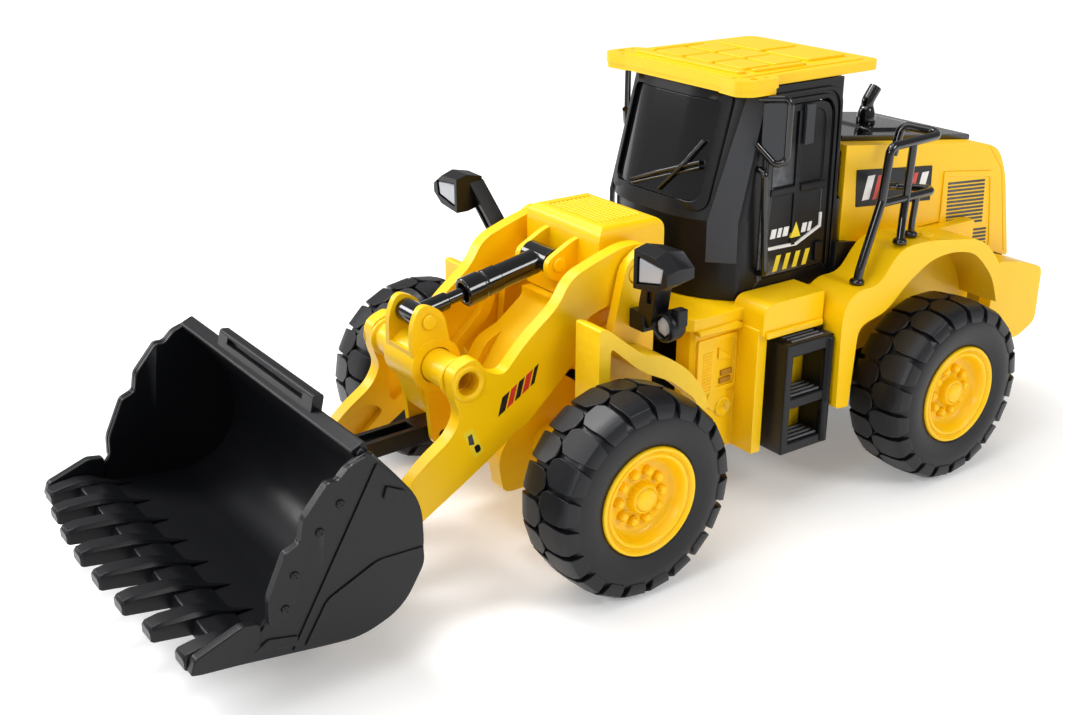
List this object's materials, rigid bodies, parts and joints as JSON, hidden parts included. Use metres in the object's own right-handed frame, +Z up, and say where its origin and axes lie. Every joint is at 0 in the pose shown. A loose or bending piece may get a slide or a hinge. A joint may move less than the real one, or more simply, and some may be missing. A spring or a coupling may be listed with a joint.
{
  "type": "toy wheel loader",
  "caption": "Toy wheel loader with a lifting boom, tilting toothed bucket, articulated steering, rolling wheels and a railed engine deck.",
  "frame": {"origin": "on the ground under the middle of the whole machine", "axes": "+X to the driver's left, -Y towards the bucket, +Z up"},
  "size_m": [0.1348, 0.339, 0.1381],
  "materials": {
    "yellow_plastic": "semi-gloss moulded yellow plastic with fine moulding grain",
    "black_plastic": "satin moulded black plastic",
    "gloss_black_plastic": "glossy black plastic with sharp highlights",
    "tyre_rubber": "dull black soft plastic tyre with raised zig-zag lugs",
    "steel": "plain drawn steel pin",
    "clear_lens": "silvered clear lamp lens",
    "red_lens": "red translucent lamp lens"
  },
  "bodies": {
    "rear_unit": {"rear_body": "yellow_plastic", "rear_chassis": "black_plastic", "counterweight": "yellow_plastic", "cab_shell": "black_plastic", "windshield": "gloss_black_plastic", "wiper": "black_plastic", "roof": "yellow_plastic", "engine_hood": "yellow_plastic", "hood_cover": "gloss_black_plastic", "exhaust": "black_plastic", "rear_fender_left": "yellow_plastic", "rear_fender_right": "yellow_plastic", "ladder_left": "black_plastic", "ladder_right": "black_plastic", "handrail_left": "gloss_black_plastic", "handrail_right": "gloss_black_plastic", "door_left": "black_plastic", "door_right": "black_plastic", "mirror_left": "black_plastic", "mirror_right": "black_plastic", "grab_handle_left": "black_plastic", "grab_handle_right": "black_plastic", "tail_lamp_left": "red_lens", "tail_lamp_right": "red_lens"},
    "rear_wheels": {"rear_axle": "steel", "rear_rim_left": "yellow_plastic", "rear_rim_right": "yellow_plastic", "rear_tyre_left": "tyre_rubber", "rear_tyre_right": "tyre_rubber"},
    "front_unit": {"front_frame": "yellow_plastic", "loader_hood": "yellow_plastic", "steering_pin": "steel", "boom_pivot_pin": "steel", "front_fender_left": "yellow_plastic", "front_fender_right": "yellow_plastic", "headlight_left": "black_plastic", "headlight_right": "black_plastic", "headlight_lens_left": "clear_lens", "headlight_lens_right": "clear_lens", "indicator_lens_left": "clear_lens", "indicator_lens_right": "clear_lens"},
    "front_wheels": {"front_axle": "steel", "front_rim_left": "yellow_plastic", "front_rim_right": "yellow_plastic", "front_tyre_left": "tyre_rubber", "front_tyre_right": "tyre_rubber"},
    "boom": {"boom_arm_left": "yellow_plastic", "boom_arm_right": "yellow_plastic", "boom_cross_tube": "yellow_plastic"},
    "bellcrank": {"bellcrank": "yellow_plastic"},
    "rod_pin": {"tilt_rod_pin": "yellow_plastic"},
    "rod": {"tilt_rod": "gloss_black_plastic"},
    "barrel": {"tilt_barrel": "gloss_black_plastic", "tilt_ear_pin": "yellow_plastic"},
    "link": {"tilt_link": "black_plastic"},
    "bucket": {"bucket_shell": "black_plastic", "bucket_edge": "black_plastic", "bucket_pin_left": "steel", "bucket_pin_right": "steel"}
  },
  "joints": [
    {"name": "steer", "type": "hinge", "parent": "rear_unit", "child": "front_unit", "pos_m": [0, 0.015, 0.04], "axis": [0, 0, 1], "range_deg": [-12, 12]},
    {"name": "front_spin", "type": "hinge", "parent": "front_unit", "child": "front_wheels", "pos_m": [0, -0.0311, 0.031], "axis": [1, 0, 0], "continuous": true},
    {"name": "rear_spin", "type": "hinge", "parent": "rear_unit", "child": "rear_wheels", "pos_m": [0, 0.101, 0.031], "axis": [1, 0, 0], "continuous": true},
    {"name": "boom_lift", "type": "hinge", "parent": "front_unit", "child": "boom", "pos_m": [0, -0.008, 0.084], "axis": [-1, 0, 0], "range_deg": [-8, 40]},
    {"name": "bucket_tilt", "type": "hinge", "parent": "boom", "child": "bucket", "pos_m": [0, -0.09, 0.025], "axis": [1, 0, 0], "range_deg": [-25, 32]},
    {"name": "bellcrank_turn", "type": "hinge", "parent": "boom", "child": "bellcrank", "pos_m": [0, -0.0646, 0.0609], "axis": [1, 0, 0], "range_deg": [-18, 14.5]},
    {"name": "link_turn", "type": "hinge", "parent": "bellcrank", "child": "link", "pos_m": [0, -0.0625, 0.038], "axis": [1, 0, 0], "range_deg": [-16.5, 21]},
    {"name": "barrel_turn", "type": "hinge", "parent": "front_unit", "child": "barrel", "pos_m": [0, -0.021, 0.0835], "axis": [-1, 0, 0], "range_deg": [-10.5, 50.5]},
    {"name": "rod_pin_turn", "type": "hinge", "parent": "bellcrank", "child": "rod_pin", "pos_m": [0, -0.0665, 0.0745], "axis": [-1, 0, 0], "range_deg": [-2.5, 10.5]},
    {"name": "rod_turn", "type": "hinge", "parent": "rod_pin", "child": "rod", "pos_m": [0, -0.0665, 0.0745], "axis": [1, 0, 0], "range_deg": [-14.5, 18]}
  ],
  "couplings": [
    {"joint": "bellcrank_turn", "follows": "bucket_tilt", "ratio": -0.545},
    {"joint": "link_turn", "follows": "bucket_tilt", "ratio": 0.634},
    {"joint": "rod_turn", "follows": "bucket_tilt", "ratio": 0.545},
    {"joint": "barrel_turn", "follows": "boom_lift", "ratio": 1.246},
    {"joint": "rod_pin_turn", "follows": "boom_lift", "ratio": 0.246}
  ]
}
